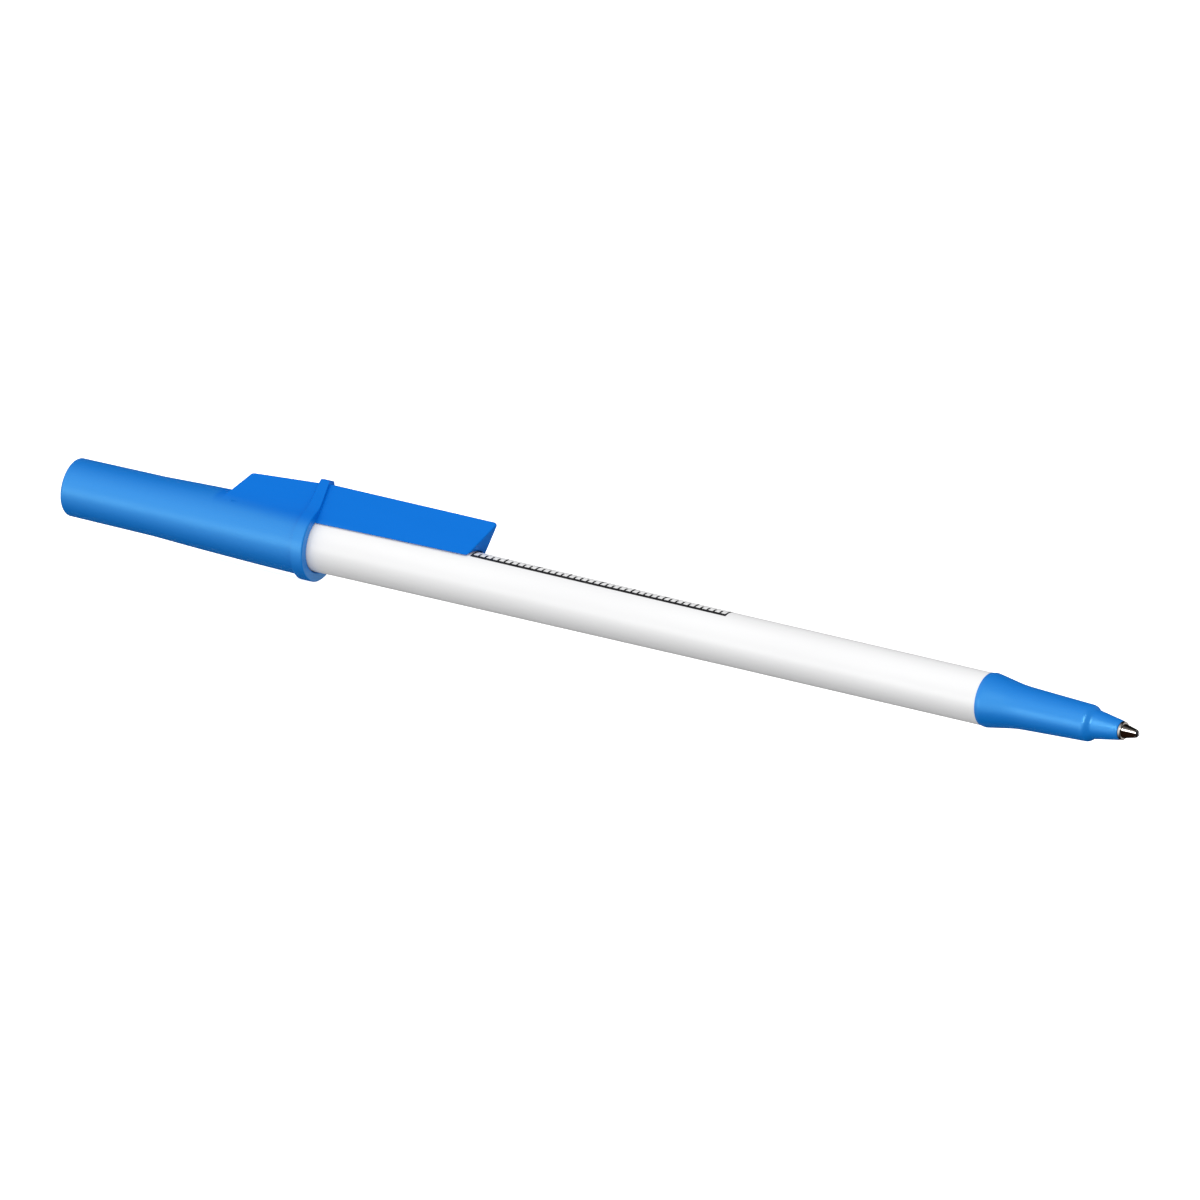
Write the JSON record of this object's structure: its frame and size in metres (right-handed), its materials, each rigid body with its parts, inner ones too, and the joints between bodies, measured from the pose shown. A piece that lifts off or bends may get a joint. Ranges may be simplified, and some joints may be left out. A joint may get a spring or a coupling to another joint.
{
  "type": "stick ballpoint pen",
  "caption": "Stick ballpoint pen with a white barrel, blue nose, metal point and a blue pull-off cap with pocket clip, posted on the rear of the barrel.",
  "frame": {"origin": "on the pen's axis, midway along the straight grip of the barrel", "axes": "+X along the pen towards the writing point, +Z from the axis towards the pocket clip, +Y to the left seen from the rear"},
  "size_m": [0.1679, 0.0106, 0.014],
  "materials": {
    "white_plastic": "white moulded plastic, gloss",
    "blue_plastic": "blue moulded plastic, soft gloss",
    "clear_plastic": "see-through extruded tube",
    "ink": "thick blue writing ink, wet",
    "point_metal": "turned nickel silver, bright",
    "ball_metal": "polished hard-metal ball"
  },
  "bodies": {
    "pen": {"barrel": "white_plastic", "nose_cone": "blue_plastic", "end_plug": "blue_plastic", "ink_tube": "clear_plastic", "ink_column": "ink", "point_socket": "point_metal"},
    "cap": {"cap": "blue_plastic"},
    "ball": {"ball": "ball_metal"}
  },
  "joints": [
    {"name": "cap_pull", "type": "slide", "parent": "pen", "child": "cap", "axis": [-1, 0, 0], "range_m": [0, 0.045]},
    {"name": "ball_roll", "type": "hinge", "parent": "pen", "child": "ball", "pos_m": [0.0422, 0, 0], "axis": [0, 1, 0], "continuous": true}
  ]
}
